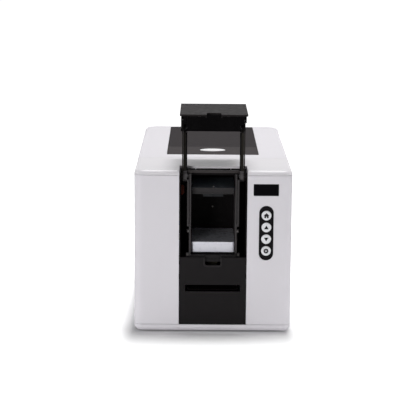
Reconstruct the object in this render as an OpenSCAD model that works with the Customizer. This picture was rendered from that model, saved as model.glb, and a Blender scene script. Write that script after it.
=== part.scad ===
// Desktop printer for plastic cards: a white case with a dark central strip,
// an open card hopper behind a front cover on a pair of four-bar linkages,
// and a ribbon bay under a hinged top cover.
// Local frame: X to the right, Z up from the table, Y back from the front face.
// Every part is then moved by shift_y, so the origin is under the middle of the
// whole part as it stands with its front cover raised.

/* [Case] */
// Width of the case
body_w = 196; // [180:1:230]
// Depth of the case
body_d = 400; // [380:1:460]
// Height of the top face above the table
body_h = 206; // [204:1:230]
// Wall thickness of the moulded covers
wall = 2.5; // [2:0.1:3]
// Height of the top mouldings above the side covers
cap_h = 6; // [5.5:0.1:7]
// Thickness of the top face
cap_t = 3; // [2.5:0.1:3.2]
// Height of the base tray
base_h = 8; // [7:0.5:12]
// Floor thickness of the base tray
base_floor = 3; // [2:0.1:4]
// Chamfer round the foot of the base tray
base_chamfer = 4; // [2:0.5:6]
// Height of the rubber feet
foot_h = 2; // [1:0.5:4]
// Radius of the rubber feet
foot_r = 8; // [5:0.5:12]
// Radius of the two front corners in plan
front_corner_r = 10; // [8:1:14]
// Radius of the two rear corners in plan
rear_corner_r = 18; // [12:1:22]
// Radius of the top edges
edge_r = 5; // [3:0.5:5]
// Gap at each seam of the case
seam = 0.4; // [0.3:0.1:0.6]
// Distance from the front face to the top cover's front edge
lid_start = 100; // [98:1:112]

/* [Front strip] */
// Width of the dark strip
strip_w = 84; // [84:0.5:88]
// Height of the lower panel's top edge
panel_top = 96.3; // [94:0.1:97]
// Width of the card exit slot
slot_w = 68.8; // [60:0.2:74]
// Height of the slot's lower edge
slot_z = 52.8; // [50:0.2:56]
// Height of the slot
slot_h = 8.4; // [6:0.2:10]
// Outer width of the thumb notch's rim
thumb_w = 23.6; // [18:0.2:30]
// Outer depth of the thumb notch's rim
thumb_d = 12.1; // [8:0.1:14]
// Width of the thumb notch's rim
thumb_rim = 2.2; // [1.5:0.1:3]
// How far the rim stands out of the panel
thumb_proud = 1; // [0.4:0.1:1.2]
// Depth of the notch in the top for the front cover's leaf
notch_d = 36.4; // [36:0.1:38]
// Depth of the hopper's rim below the top face
rim_drop = 3.4; // [3:0.1:4]
// Distance of the bar over the hopper's mouth behind the front face
bar_y = 22; // [20:0.5:26]
// Depth of the bar over the hopper's mouth
bar_d = 8; // [4:0.5:10]
// Radius of the sphere that forms the finger scoop
scoop_r = 400; // [250:10:600]
// Depth of the finger scoop
scoop_depth = 1.3; // [1:0.1:3]

/* [Front cover and linkage] */
// Width of the front cover
cover_w = 83; // [80:0.5:83.4]
// Thickness of the front cover
cover_t = 2; // [1.5:0.1:2.2]
// Depth of the leaf along the cover's top
leaf_d = 35.5; // [30:0.5:35.5]
// Depth of the finger notch in the cover's lower edge
grip_d = 16; // [6:0.5:18]
// Gap under the closed cover
cover_gap = 0.5; // [0.3:0.1:1]
// Distance of the arm pivots behind the front face
pivot_y = 21.5; // [20:0.1:23]
// Depth of the arm pivots below the top face
pivot_drop = 10.5; // [10:0.1:12]
// Distance between an arm's two pivots
arm_len = 60.3; // [56:0.1:61]
// Thickness of an arm
arm_t = 3; // [2.5:0.1:3.1]
// Width of an arm
arm_w = 8; // [6:0.5:9]
// Radius of an arm's lower hub
hub_r = 6.5; // [5.5:0.1:6.7]
// Radius of an arm's upper eye
eye_r = 5; // [4.5:0.1:5.5]
// Distance of a tilt link's lower pivot in front of the arm's
link_back = 4.6; // [4:0.1:5]
// Forward and outward offset of a tilt link's upper pivot from the arm's
link_off = 12; // [11:0.1:12.5]
// Thickness of a tilt link
link_t = 1.2; // [1:0.1:1.3]
// Width of a tilt link
link_w = 6; // [5:0.5:7]
// Radius of a tilt link's lower eye
link_hub_r = 5; // [4:0.1:5.5]
// Clearance round the open upper pivot of a tilt link
link_slack = 0.7; // [0.65:0.05:0.9]
// Radius of the arm pivot pins
pin_r = 2.5; // [2:0.1:2.8]
// Radius of the tilt link pins
link_pin_r = 1.6; // [1.3:0.1:1.8]
// Thickness of the cover's pivot cheeks
cheek_t = 1.5; // [1.2:0.1:1.6]
// Gap between pieces of the linkage that lie side by side
side_gap = 0.25; // [0.2:0.01:0.3]
// Radial clearance of a running fit
run_fit = 0.05; // [0.02:0.01:0.09]

/* [Card hopper] */
// Width of a card
card_w = 53.98; // [53.9:0.01:54.1]
// Length of a card
card_l = 85.6; // [85.4:0.01:85.8]
// Thickness of a card
card_t = 0.76; // [0.7:0.01:0.8]
// Distance between two cards in the stack
card_pitch = 0.8; // [0.78:0.01:0.9]
// Corner radius of a card
card_r = 3.18; // [2.9:0.01:3.5]
// Number of cards in the stack
card_count = 16; // [1:1:40]
// Distance of the stack behind the front face
card_y = 16.6; // [16:0.1:20]
// Height of the card path
path_z = 99.8; // [99.5:0.1:101]
// Side clearance between a card and the hopper
card_side = 0.5; // [0.3:0.05:0.8]
// Thickness of the hopper's side plates
side_t = 1.6; // [1.4:0.1:1.9]
// Thickness of the hopper housing's walls
liner_t = 1.4; // [1.2:0.1:1.6]
// Distance of the hopper's front rails behind the front face
rail_y = 8; // [7:0.5:9]
// Depth of a front rail
rail_d = 6; // [4:0.5:7]
// Height where the front rails start
rail_z = 134; // [130:1:150]
// Depth of the groove in a rail
groove_d = 2; // [1:0.1:3]
// Width of the groove in a rail
groove_w = 0.8; // [0.6:0.1:1.2]
// Height of the hopper's front lip
lip_h = 8.5; // [5:0.1:9]
// Depth of the card weight's bar below the top face
weight_drop = 33; // [31:1:41]
// Height of the card weight's front bar
weight_h = 8; // [6:0.5:9]
// Thickness of the card weight's plate
weight_t = 2; // [1.5:0.1:3]
// Depth of the tab under the card weight
tab_h = 3.4; // [2:0.1:4]
// Width of a guide lug on the card weight
lug_w = 5; // [3:0.5:8]
// Clearance of the card weight in its slots
slide_fit = 0.3; // [0.2:0.05:0.5]

/* [Display and keys] */
// Distance of the display's centre from the middle of the case
display_x = 65.4; // [64:0.1:68]
// Width of the display window
display_w = 31; // [24:0.5:36]
// Height of the display window
display_h = 14.6; // [10:0.2:18]
// Depth of the display's centre below the top face
display_drop = 24; // [22:0.5:28]
// Distance of the keys' centre line from the middle of the case
keys_x = 66; // [64:0.1:70]
// Width of the key plate
keys_w = 17.7; // [17:0.1:22]
// Depth of the upper key's centre below the display's
keys_drop = 32; // [30:0.5:36]
// Distance between two keys
key_pitch = 14.9; // [14.6:0.1:16]
// Radius of a key
key_r = 6; // [5:0.05:6.9]
// Length of the key plate beyond the outer keys' centres
keys_end = 12; // [11:0.1:13]
// Radial clearance round a key
key_fit = 0.15; // [0.1:0.01:0.2]
// How far a key stands out of the case
key_proud = 1; // [0.6:0.1:1.5]
// Travel of a key
key_travel = 0.8; // [0.4:0.1:1]

/* [Top cover] */
// Distance of the hinge axis in front of the rear face
hinge_in = 8; // [7:0.5:9]
// Height of the hinge axis below the top face
hinge_drop = 10; // [9.5:0.5:10.5]
// Radius of the hinge knuckle
knuckle_r = 12.9; // [12.85:0.05:13.4]
// Gap round the hinge knuckle
knuckle_gap = 0.6; // [0.4:0.1:1]
// Radius of the hinge pins
hinge_pin_r = 2; // [1.5:0.1:2.5]
// Half width of the dark insert
insert_w = 60.5; // [56:0.5:70]
// Distance from the front face to the insert
insert_start = 126; // [122:1:130]
// Distance from the front face to the seam between the two inserts
insert_seam = 194.8; // [190:0.5:215]
// Distance between the insert and the rear face
insert_end = 10; // [8:0.5:20]
// Thickness of the insert
insert_t = 1.6; // [1.2:0.1:2]
// Radius of the release button
release_r = 17; // [14:0.5:20]
// Distance of the release button in front of the seam between the inserts
release_back = 29.8; // [28:0.2:34]
// Travel of the release button
release_travel = 1.5; // [1:0.1:1.8]

/* [Mechanism] */
// Distance between the chassis plates
bay_w = 90; // [86:0.5:92]
// Thickness of the chassis plates
plate_t = 1.5; // [1.2:0.1:2]
// Distance from the front face to the tall part of the chassis
bay_start = 114; // [113.5:0.5:116]
// Radius of the roller shafts
shaft_r = 3; // [2.5:0.1:3.5]
// Radius of the pick roller
pick_r = 10; // [8:0.5:11]
// Distance of the pick roller behind the front face
pick_y = 30; // [28:0.5:34]
// Radius of the feed roller
feed_r = 6; // [5:0.5:7]
// Distance of the feed roller behind the front face
feed_y = 128; // [124:0.5:132]
// Radius of the platen roller
platen_r = 7; // [6:0.5:8]
// Distance of the print line behind the front face
platen_y = 243; // [238:0.5:246]
// Radius of the cleaning roller
clean_r = 8; // [6:0.5:9]
// Distance of the cleaning roller behind the front face
clean_y = 152; // [150:0.5:154]
// Radius of the exit roller
exit_r = 8; // [6:0.5:9]
// Distance of the exit roller behind the front face
exit_y = 60; // [52:0.5:66]
// Radius of the drive pulleys
pulley_r = 8; // [7:0.5:9]
// Width of the drive belt
belt_w = 5; // [4:0.5:6]
// Thickness of the drive belt
belt_t = 1.4; // [1:0.1:2]
// Clearance between a soft piece and its neighbour
soft_gap = 0.3; // [0.3:0.05:0.5]
// Side of the square drive motor
motor_w = 42; // [35:1:42]
// Length of the drive motor
motor_l = 34; // [25:1:38]
// Radius of the supply roll
supply_r = 22; // [18:0.5:24]
// Radius of the take-up roll
takeup_r = 16; // [12:0.5:20]
// Radius of the spools' cores
core_r = 9; // [8:0.5:10]
// Radius of the spools' journals
journal_r = 6; // [5:0.5:7]
// Width of the ribbon
ribbon_w = 58; // [56:0.5:60]
// Distance of a spool from the print line
spool_off = 57; // [56:0.5:60]
// Height of the spools above the card path
spool_h = 52; // [50:0.5:56]
// Thickness of the cassette's side plates
cassette_t = 2; // [1.5:0.1:2.4]
// Width of the fan
fan_w = 50; // [40:1:54]
// Thickness of the fan
fan_t = 10; // [8:0.5:12]
// Height of the fan's centre
fan_z = 120; // [100:1:130]
// Number of fan blades
fan_blades = 7; // [5:1:9]
// Radius of the fan's hub
fan_hub_r = 9.5; // [8:0.5:11]
// Height of the sockets' centre line on the rear panel
port_z = 34; // [30:0.5:40]
// Gap between the main board and the case's outer side
board_in = 16; // [15:0.5:20]
// Distance from the front face to the main board
board_y = 130; // [120:1:150]
// Length of the main board
board_l = 170; // [150:1:190]
// Height of the main board
board_h = 100; // [90:1:120]
// Height of the main board above the floor
board_lift = 12; // [8:1:16]
// Thickness of the circuit boards
board_t = 1.6; // [1:0.1:2]
// Length of the power supply
psu_l = 130; // [110:1:140]
// Height of the power supply
psu_h = 60; // [50:1:70]
// Distance of the power supply in front of the rear face
psu_end = 30; // [26:1:40]

/* [Hidden] */
$fn = 48;
soft_fn = 32;
eps = 0.01;

// Case levels and planes
base_top = foot_h + base_h;
floor_z = foot_h + base_floor;
seam_z = body_h - cap_h;
half_w = body_w / 2;
strip_h = strip_w / 2;
hinge_y = body_d - hinge_in;
hinge_z = body_h - hinge_drop;
rear_face = body_d - wall;
rear_panel_h = half_w - rear_corner_r - 1;

// Front cover: closed and open places of the arms' upper pivots
pivot_z = body_h - pivot_drop;
cover_bottom = panel_top + cover_gap;
q_closed_z = pivot_z - arm_len;
q_open_z = pivot_z + arm_len;
link_y = pivot_y - link_back;
link_closed = [pivot_y - link_off, q_closed_z - link_off];
link_open = [pivot_y - link_off, q_open_z + link_off];
cover_front = pivot_y - (q_closed_z - cover_bottom);
grip_x = 9;
cover_rib_x = 29;
cover_rib_t = 1.2;
shift_y = -(body_d + cover_front) / 2;

// Planes of the linkage, from the strip's middle outwards
cheek_x = 32.7;
arm_x = cheek_x + cheek_t + side_gap;
link_x = arm_x + arm_t + side_gap;
outer_cheek_x = link_x + link_t + side_gap;
liner_x = strip_h - 0.2;
liner_in = liner_x - liner_t;

// Hopper
hopper_in = card_w / 2 + card_side;
side_x = hopper_in + side_t;
rail_x = cheek_x - side_gap - 0.1;
groove_x = hopper_in + 2.2;
bar_x = rail_x - 0.45;
rib_r = arm_w / 2 - 1.3;
hopper_back = card_y + card_l + 4;
liner_floor = panel_top - 2.6;
liner_floor_t = 1.6;
card_plate_t = 1.8;
card_plate_z = path_z - 0.2 - card_plate_t;
stack_top = path_z + (card_count - 1) * card_pitch + card_t;
weight_z = body_h - weight_drop;
weight_bottom = weight_z - tab_h;
weight_travel = weight_bottom - stack_top - 0.2;
lug_z = weight_z + 1;
lug_h = 6;
lug_ys = [card_y + 24, card_y + 68];
lip_y = 4;
lip_t = 2;
lip_top = path_z - 1.1;
lip_w = hopper_in + 1.1;

// Display and keys
display_z = body_h - display_drop;
keys_z = display_z - keys_drop;
key_names_z = [for (i = [0:3]) keys_z - i * key_pitch];
key_plate_t = 2.2;
key_flange_r = key_r + 0.8;

// Card path and rollers
pick_z = path_z - pick_r - 0.1;
feed_z = path_z - feed_r - 0.1;
platen_z = path_z - platen_r - 0.1;
clean_z = path_z + card_t + clean_r + 0.3;
plate_x = bay_w / 2;
plate_out = plate_x + plate_t;
chassis_top = seam_z - 6;
pulley_x = plate_out + 1.5;
chute_y0 = wall + 2;
chute_z0 = slot_z + 2;
chute_y1 = platen_y - 20;
chute_z1 = card_plate_z - 2.5;
chute_angle = atan((chute_z1 - chute_z0) / (chute_y1 - chute_y0));
chute_t = 1.2;
exit_z = chute_z0 + (exit_y - chute_y0) * tan(chute_angle) - exit_r + 0.4;
motor_y = platen_y + 42;
motor_z = floor_z + motor_w / 2 + 4;
spool_z = path_z + spool_h;
supply_y = platen_y + spool_off;
takeup_y = platen_y - spool_off;
cassette_x = 35;
tie_z = spool_z - 35;
tie_ys = [takeup_y + 6, supply_y + 6];
head_pivot = [platen_y + 47, path_z + 18];
head_x = plate_x - 3.5;
head_rod_r = 3;

// Top cover
release_y = insert_seam - release_back;

// Rear panel
switch_x = -50;
inlet_x = -18;
usb_x = 8;
lan_x = 34;
fan_pin_r = 1.5;
rocker_tilt = 6;

// ---------------------------------------------------------------- helpers

module place() translate([0, shift_y, 0]) children();

module box(x, y, z) {
    translate([x[0], y[0], z[0]])
        cube([x[1] - x[0], y[1] - y[0], z[1] - z[0]]);
}

module both_sides() {
    children();
    mirror([1, 0, 0]) children();
}

module one_side(side) {
    if (side < 0) mirror([1, 0, 0]) children();
    else children();
}

// A profile drawn in Y and Z, between two values of X
module along_x(x0, x1) {
    translate([x0, 0, 0]) rotate([90, 0, 90])
        linear_extrude(height = x1 - x0) children();
}

// A profile drawn in X and Z, between two values of Y
module along_y(y0, y1) {
    translate([0, y1, 0]) rotate([90, 0, 0])
        linear_extrude(height = y1 - y0) children();
}

module along_z(z0, z1) {
    translate([0, 0, z0]) linear_extrude(height = z1 - z0) children();
}

module rod_x(r, y, z, x0, x1) {
    along_x(x0, x1) translate([y, z]) circle(r);
}

module rod_y(r, x, z, y0, y1) {
    along_y(y0, y1) translate([x, z]) circle(r);
}

module circle_at(p, r) translate(p) circle(r);

// A straight bar with round ends
module bar_2d(a, b, r) {
    length = norm(b - a);
    circle_at(a, r);
    circle_at(b, r);
    translate(a) rotate(atan2(b[1] - a[1], b[0] - a[0]))
        translate([0, -r]) square([length, 2 * r]);
}

module round_rect(x, y, r) {
    translate([x[0] + r, y[0]]) square([x[1] - x[0] - 2 * r, y[1] - y[0]]);
    translate([x[0], y[0] + r]) square([x[1] - x[0], y[1] - y[0] - 2 * r]);
    for (px = [x[0] + r, x[1] - r], py = [y[0] + r, y[1] - r]) circle_at([px, py], r);
}

// Outline of the case in plan, moved inwards
module plan(inset) {
    w = half_w - inset;
    rf = front_corner_r - inset;
    rr = rear_corner_r - inset;
    y1 = body_d - inset;
    translate([-w, inset + rf]) square([2 * w, y1 - rr - inset - rf]);
    translate([rf - w, inset]) square([2 * (w - rf), rf + eps]);
    translate([rr - w, y1 - rr - eps]) square([2 * (w - rr), rr + eps]);
    for (s = [-1, 1]) {
        circle_at([s * (w - rf), inset + rf], rf);
        circle_at([s * (w - rr), y1 - rr], rr);
    }
}

// One corner post of the case, with its top edge rounded
module corner_post(x, y, r) {
    translate([x, y, base_top]) cylinder(r = r, h = body_h - edge_r - base_top, $fn = soft_fn);
    translate([x, y, body_h - edge_r]) rotate_extrude($fn = soft_fn)
        translate([r - edge_r, 0]) circle(edge_r, $fn = soft_fn);
}

// The case as one solid form
module case_form() {
    hull() for (s = [-1, 1]) {
        corner_post(s * (half_w - front_corner_r), front_corner_r, front_corner_r);
        corner_post(s * (half_w - rear_corner_r), body_d - rear_corner_r, rear_corner_r);
    }
}

module knuckle(r, x) rod_x(r, hinge_y, hinge_z, -x, x);

// ---------------------------------------------------------------- case

module base_tray() {
    color([0.86, 0.85, 0.87]) place() {
        difference() {
            hull() {
                along_z(foot_h, foot_h + 0.1) plan(base_chamfer, $fn = soft_fn);
                along_z(foot_h + base_chamfer, base_top) plan(0, $fn = soft_fn);
            }
            along_z(floor_z, base_top + 1) plan(5);
            for (i = [0:6], s = [-1, 1])
                box([s * 60 - 18, s * 60 + 18], [110 + 12 * i, 114 + 12 * i], [0, floor_z + 1]);
        }
        difference() {
            along_z(base_top - 1, base_top + 4) plan(wall + 0.3);
            along_z(base_top - 2, base_top + 5) plan(5);
            box([-strip_h - 2, strip_h + 2], [-1, 12], [base_top, base_top + 5]);
        }
    }
}

module rubber_feet() {
    color([0.08, 0.08, 0.08]) place()
        for (s = [-1, 1], y = [28, body_d - 32])
            translate([s * (half_w - 26), y, 0]) cylinder(r = foot_r, h = foot_h);
}

// One side cover, drawn on the right
module side_shell() {
    difference() {
        intersection() {
            case_form();
            box([strip_h + 0.2, half_w + 1], [-1, body_d + 1], [base_top + seam, seam_z - seam]);
        }
        along_z(0, body_h) plan(wall);
        box([0, rear_panel_h + seam], [body_d - 60, body_d + 1], [0, body_h]);
        knuckle(knuckle_r + knuckle_gap, half_w + 1);
        for (i = [0:9])
            box([half_w - wall - 1, half_w + 1], [250 + 9 * i, 254 + 9 * i], [40, 88]);
    }
}

module left_side_cover() {
    color([0.84, 0.83, 0.85]) place() mirror([1, 0, 0]) side_shell();
}

module right_side_cover() {
    color([0.8, 0.79, 0.81]) place() difference() {
        side_shell();
        along_y(-1, wall + 1) display_outline(0.15);
        along_y(-1, wall + 1) keys_outline(0.15);
    }
}

module rear_panel() {
    color([0.8, 0.79, 0.81]) place() difference() {
        box([-rear_panel_h, rear_panel_h], [rear_face, body_d], [base_top + seam, hinge_z]);
        knuckle(knuckle_r + knuckle_gap, half_w);
        along_y(rear_face - 1, body_d + 1) difference() {
            for (i = [-3:3])
                bar_2d([-fan_w / 2 + 8, fan_z + 6 * i], [fan_w / 2 - 8, fan_z + 6 * i], 1.6);
            circle_at([0, fan_z], fan_hub_r - 2);
        }
        along_y(rear_face - 1, body_d + 1) port_outlines(0.1);
    }
    color([0.15, 0.15, 0.15]) place() fan_frame();
}

// Outlines of the switch and the three sockets, seen from behind
module port_outlines(grow) {
    for (p = [[switch_x, 22, 14], [usb_x, 12, 11], [lan_x, 16, 13.5]])
        translate([p[0] - p[1] / 2 - grow, port_z - p[2] / 2 - grow])
            square([p[1] + 2 * grow, p[2] + 2 * grow]);
    circle_at([inlet_x, port_z], 6 + grow);
}

// Square duct behind the grille, with the boss that the rotor turns in
module fan_frame() {
    w = fan_w / 2;
    difference() {
        box([-w, w], [rear_face - fan_t, rear_face + eps], [fan_z - w, fan_z + w]);
        rod_y(w - 1.5, 0, fan_z, rear_face - fan_t - 1, rear_face);
    }
    difference() {
        rod_y(fan_pin_r + 2, 0, fan_z, rear_face - 1.6, rear_face + eps);
        rod_y(fan_pin_r + run_fit, 0, fan_z, rear_face - 2, rear_face);
    }
}

// Hub with pitched blades
module fan_rotor() {
    y0 = rear_face - fan_t + 0.6;
    y1 = rear_face - 2;
    tip = fan_w / 2 - 2.5;
    color([0.1, 0.1, 0.11]) place() {
        rod_y(fan_hub_r, 0, fan_z, y0, y1);
        rod_y(fan_pin_r, 0, fan_z, y1 - eps, rear_face - 0.2);
        for (i = [0:fan_blades - 1])
            translate([0, (y0 + y1) / 2, fan_z]) rotate([0, 360 * i / fan_blades, 0])
                rotate([0, 0, 32])
                    translate([-4.2, -0.5, fan_hub_r - 1]) cube([8.4, 1, tip - fan_hub_r]);
    }
}

module front_top_cap() {
    color([0.87, 0.86, 0.88]) place() difference() {
        intersection() {
            case_form();
            box([-half_w - 1, half_w + 1], [-1, lid_start - seam], [seam_z, body_h + 1]);
        }
        both_sides() box([55, half_w - wall - 1], [wall + 1, lid_start - wall - 1],
                         [0, body_h - cap_t]);
        box([-strip_h - 0.2, strip_h + 0.2], [-1, notch_d], [0, body_h + 1]);
        translate([0, notch_d, body_h + scoop_r - scoop_depth]) sphere(r = scoop_r, $fn = 96);
    }
}

module top_cover() {
    color([0.88, 0.87, 0.89]) place() {
        difference() {
            intersection() {
                case_form();
                union() {
                    box([-half_w - 1, half_w + 1], [lid_start, body_d + 1],
                        [seam_z, body_h + 1]);
                    knuckle(knuckle_r, half_w + 1);
                }
            }
            along_z(0, body_h - cap_t) intersection() {
                plan(wall + 0.5);
                translate([-half_w, lid_start + wall]) square([body_w, body_d]);
            }
            along_z(body_h - insert_t, body_h + 1)
                round_rect([-insert_w, insert_w], [insert_start, body_d - insert_end], 2.5);
            translate([0, release_y, 0]) cylinder(r = release_r + 0.3, h = body_h + 1);
        }
        both_sides() difference() {
            along_x(plate_out + 0.7, plate_out + 3.7) {
                circle_at([hinge_y, hinge_z], hinge_pin_r + 3.5);
                translate([hinge_y - 8, hinge_z])
                    square([8 + hinge_in - wall - 0.1, body_h - cap_t - hinge_z + 0.5]);
            }
            rod_x(hinge_pin_r + run_fit, hinge_y, hinge_z, 0, half_w);
        }
    }
}

module insert_plate(y0, y1) {
    intersection() {
        round_rect([-insert_w + 0.15, insert_w - 0.15],
                   [insert_start + 0.15, body_d - insert_end - 0.15], 2.4);
        translate([-insert_w, y0]) square([2 * insert_w, y1 - y0]);
    }
}

module top_insert_front() {
    color([0.31, 0.29, 0.3]) place() difference() {
        along_z(body_h - insert_t, body_h) insert_plate(insert_start, insert_seam - 0.15);
        translate([0, release_y, 0]) cylinder(r = release_r + 0.3, h = body_h + 1);
    }
}

module top_insert_rear() {
    color([0.28, 0.26, 0.27]) place()
        along_z(body_h - insert_t, body_h) insert_plate(insert_seam + 0.15, body_d);
}

// Round button, flush with the insert, whose disc sinks to the guide's rim
module cover_release_button() {
    z0 = body_h - cap_t + release_travel + 0.3;
    color([0.93, 0.93, 0.94]) place() translate([0, release_y, 0]) {
        rotate_extrude($fn = 64) polygon([
            [0, z0], [release_r, z0], [release_r, body_h],
            [release_r - 0.6, body_h + 0.3], [0, body_h + 0.5]
        ]);
        translate([0, 0, body_h - cap_t - 7]) cylinder(r = 5, h = release_travel + 8);
    }
}

// Cup under the top cover that guides the button's stem
module release_guide() {
    color([0.2, 0.2, 0.21]) place() translate([0, release_y, body_h - cap_t - 6])
        difference() {
            cylinder(r = release_r + 2, h = 6);
            translate([0, 0, 1.6]) cylinder(r = release_r - 2, h = 6);
            translate([0, 0, -1]) cylinder(r = 5 + run_fit, h = 4);
        }
}

// ---------------------------------------------------------------- front strip

module thumb_outline(grow) {
    x = thumb_w / 2 - thumb_rim + grow;
    z = panel_top - thumb_d + thumb_rim - grow;
    r = 1.6 + grow;
    round_rect([-x, x], [z, panel_top + 2 * r], r);
}

module front_lower_panel() {
    x = strip_h - 0.2;
    color([0.13, 0.13, 0.13]) place() {
        difference() {
            box([-x, x], [0, wall], [base_top + seam, panel_top]);
            along_y(-1, wall + 1) thumb_outline(0);
            along_y(-1, wall + 1)
                round_rect([-slot_w / 2, slot_w / 2], [slot_z, slot_z + slot_h], 0.8);
        }
        difference() {
            along_y(-thumb_proud, 0.5) intersection() {
                thumb_outline(thumb_rim);
                translate([-thumb_w, 0]) square([2 * thumb_w, panel_top]);
            }
            along_y(-2, wall + 1) thumb_outline(0);
        }
        both_sides() box([x - 1.4, x], [wall - eps, 12], [base_top + seam + 1, liner_floor - 1.5]);
    }
}

module hopper_housing() {
    wall_top = body_h - rim_drop;
    back = hopper_back + liner_t;
    color([0.03, 0.03, 0.03]) place() {
        both_sides() difference() {
            union() {
                box([liner_in, liner_x], [cover_t + 1, back], [liner_floor, seam_z - 0.2]);
                box([liner_in, liner_x], [cover_t + 1, notch_d - 0.3], [seam_z - 1, wall_top]);
                along_x(outer_cheek_x, liner_in + eps) circle_at([link_y, pivot_z], 4.4);
            }
            rod_x(link_pin_r + 0.02, link_y, pivot_z, 0, liner_x + 1);
        }
        // back wall with the mouth that the cards leave through
        difference() {
            box([-liner_x, liner_x], [hopper_back, back], [liner_floor, seam_z - 0.2]);
            box([-hopper_in, hopper_in], [hopper_back - 1, back + 1], [card_plate_z - 1, path_z + 1.6]);
        }
        // floor, open over the pick roller
        difference() {
            box([-liner_x, liner_x], [cover_t + 1, back], [liner_floor, liner_floor + liner_floor_t]);
            box([-8, 8], [pick_y - pick_r - 2, pick_y + pick_r + 2], [0, body_h]);
            box([-lip_w - 0.3, lip_w + 0.3], [0, lip_y + lip_t + 0.3], [0, body_h]);
        }
        // rim behind the front cover's leaf
        difference() {
            box([-liner_x, liner_x], [notch_d - 1.6, notch_d - 0.3], [seam_z - 0.8, wall_top]);
            both_sides() box([21.4, 22.6], [0, notch_d + 1], [wall_top - 1.2, body_h + 1]);
        }
        both_sides() box([rail_x + 2, liner_x], [notch_d - 1.6, notch_d - 0.3],
                         [seam_z - 14, seam_z]);
        // bar over the hopper's mouth, with the lip under it and its web to the rim
        box([-bar_x, bar_x], [bar_y, bar_y + bar_d], [seam_z - 0.8, seam_z + 2]);
        box([-bar_x, bar_x], [bar_y + bar_d - 1, notch_d - 1.5], [seam_z - 0.8, seam_z + 0.4]);
        box([0.3 - hopper_in, hopper_in - 0.3], [bar_y + 1.5, bar_y + 2.7],
            [seam_z - 3.5, seam_z - 0.7]);
    }
}

// Side of the hopper with its grooved front rail, drawn on the right
module hopper_side() {
    z0 = liner_floor + liner_floor_t;
    top = seam_z - 1;
    difference() {
        union() {
            box([hopper_in, side_x], [rail_y + rail_d - 1, hopper_back - 0.2], [z0, top]);
            box([hopper_in, rail_x], [rail_y, rail_y + rail_d], [rail_z, top]);
            box([hopper_in, side_x + 0.8], [rail_y + 2, rail_y + rail_d], [z0, rail_z]);
            box([hopper_in, side_x + 4.4], [rail_y + 2, rail_y + 4], [z0, lip_top + 1.5]);
            along_x(side_x - eps, rail_x) circle_at([pivot_y, pivot_z], pin_r + 0.9);
            along_x(side_x - eps, rail_x) circle_at([rail_y + 4, rail_z - 6.2], 2.4);
        }
        // groove between the rail's inner and outer parts, and the outer part's lower top
        along_y(rail_y - 1, rail_y + groove_d)
            bar_2d([groove_x, rail_z + 3], [groove_x, top + 9], groove_w / 2);
        along_y(rail_y - 1, rail_y + rail_d + 1) polygon([
            [groove_x, top + 1], [groove_x, top - 5.5],
            [rail_x + 1, top - 7.5], [rail_x + 1, top + 1]
        ]);
        // slots for the card weight's lugs
        for (y = lug_ys)
            along_x(0, rail_x)
                bar_2d([y, lug_z - weight_travel + lug_h / 2 - 1], [y, lug_z + lug_h / 2 + 1],
                       lug_w / 2 + slide_fit);
        rod_x(pin_r + 0.02, pivot_y, pivot_z, side_x - side_t + 1, arm_x + 1);
    }
}

module hopper_side_left() {
    color([0.16, 0.16, 0.16]) place() mirror([1, 0, 0]) hopper_side();
}

module hopper_side_right() {
    color([0.16, 0.16, 0.16]) place() hopper_side();
}

module hopper_floor() {
    x = hopper_in - 0.1;
    color([0.2, 0.2, 0.21]) place() difference() {
        union() {
            box([-x, x], [card_y - 4, hopper_back - 0.2], [card_plate_z, card_plate_z + card_plate_t]);
            both_sides() box([x - 1.6, x], [card_y - 4, hopper_back - 0.2],
                             [liner_floor + liner_floor_t, card_plate_z + 0.1]);
        }
        box([-8, 8], [pick_y - pick_r - 2, pick_y + pick_r + 2], [0, body_h]);
    }
}

// Low front wall that holds back the bottom of the stack
module hopper_lip() {
    w = lip_w;
    z0 = lip_top - lip_h;
    color([0.15, 0.15, 0.16]) place() {
        difference() {
            box([-w, w], [lip_y, lip_y + lip_t], [z0, lip_top]);
            box([-10, 10], [lip_y - 1, lip_y + 1], [z0 + 2, body_h]);
        }
        both_sides() {
            box([w - 1.2, w], [lip_y - 0.9, lip_y + lip_t], [z0, lip_top + 2]);
            box([10.5, thumb_w / 2], [lip_y - 0.9, lip_y + eps], [z0, lip_top]);
        }
        box([-w, w], [lip_y, card_y - 4.4], [z0, liner_floor - 0.2]);
    }
}

// Small screws of the hopper
module hopper_screws() {
    color([0.6, 0.6, 0.6]) place() {
        both_sides() {
            rod_y(1.2, side_x + 2.4, lip_top - 0.9, rail_y + 0.6, rail_y + 2);
            rod_y(1.1, rail_x - 1.9, rail_z - 6.2, rail_y + 0.6, rail_y + 1.6);
        }
        rod_y(1.1, 0, rail_z + 6.7, hopper_back - 1.2, hopper_back);
    }
}

module card_weight() {
    x = card_w / 2 - 1;
    y0 = card_y + 3.4;
    y1 = card_y + card_l - 5;
    color([0.2, 0.2, 0.2]) place() {
        box([-x, x], [y0, y0 + 3], [weight_z, weight_z + weight_h]);
        box([-x, x], [y0 - 0.5, y0 + 1], [weight_z, weight_z + 1.3]);
        box([-x, x], [y0, y1], [weight_z + weight_h - weight_t, weight_z + weight_h]);
        both_sides() box([x - 2, x], [y0, y1], [weight_z, weight_z + weight_h]);
        box([-x, x], [y1 - 2, y1], [weight_z, weight_z + weight_h]);
        difference() {
            box([-12.5, 12.5], [y0 + 0.6, y0 + 12], [weight_bottom, weight_z + weight_h]);
            box([-0.5, 0.5], [y0, y0 + 2], [weight_bottom - 1, weight_z]);
        }
        both_sides() for (y = lug_ys)
            along_x(x - eps, side_x + 1.4)
                bar_2d([y, lug_z + lug_w / 2], [y, lug_z + lug_h - lug_w / 2], lug_w / 2);
    }
}

module weight_knob() {
    color([0.75, 0.73, 0.68]) place() translate([0.4, card_y + 5, weight_z + weight_h]) {
        cylinder(r = 0.7, h = 1.4);
        translate([0, 0, 1.1]) cylinder(r = 1.1, h = 0.9);
    }
}

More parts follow.
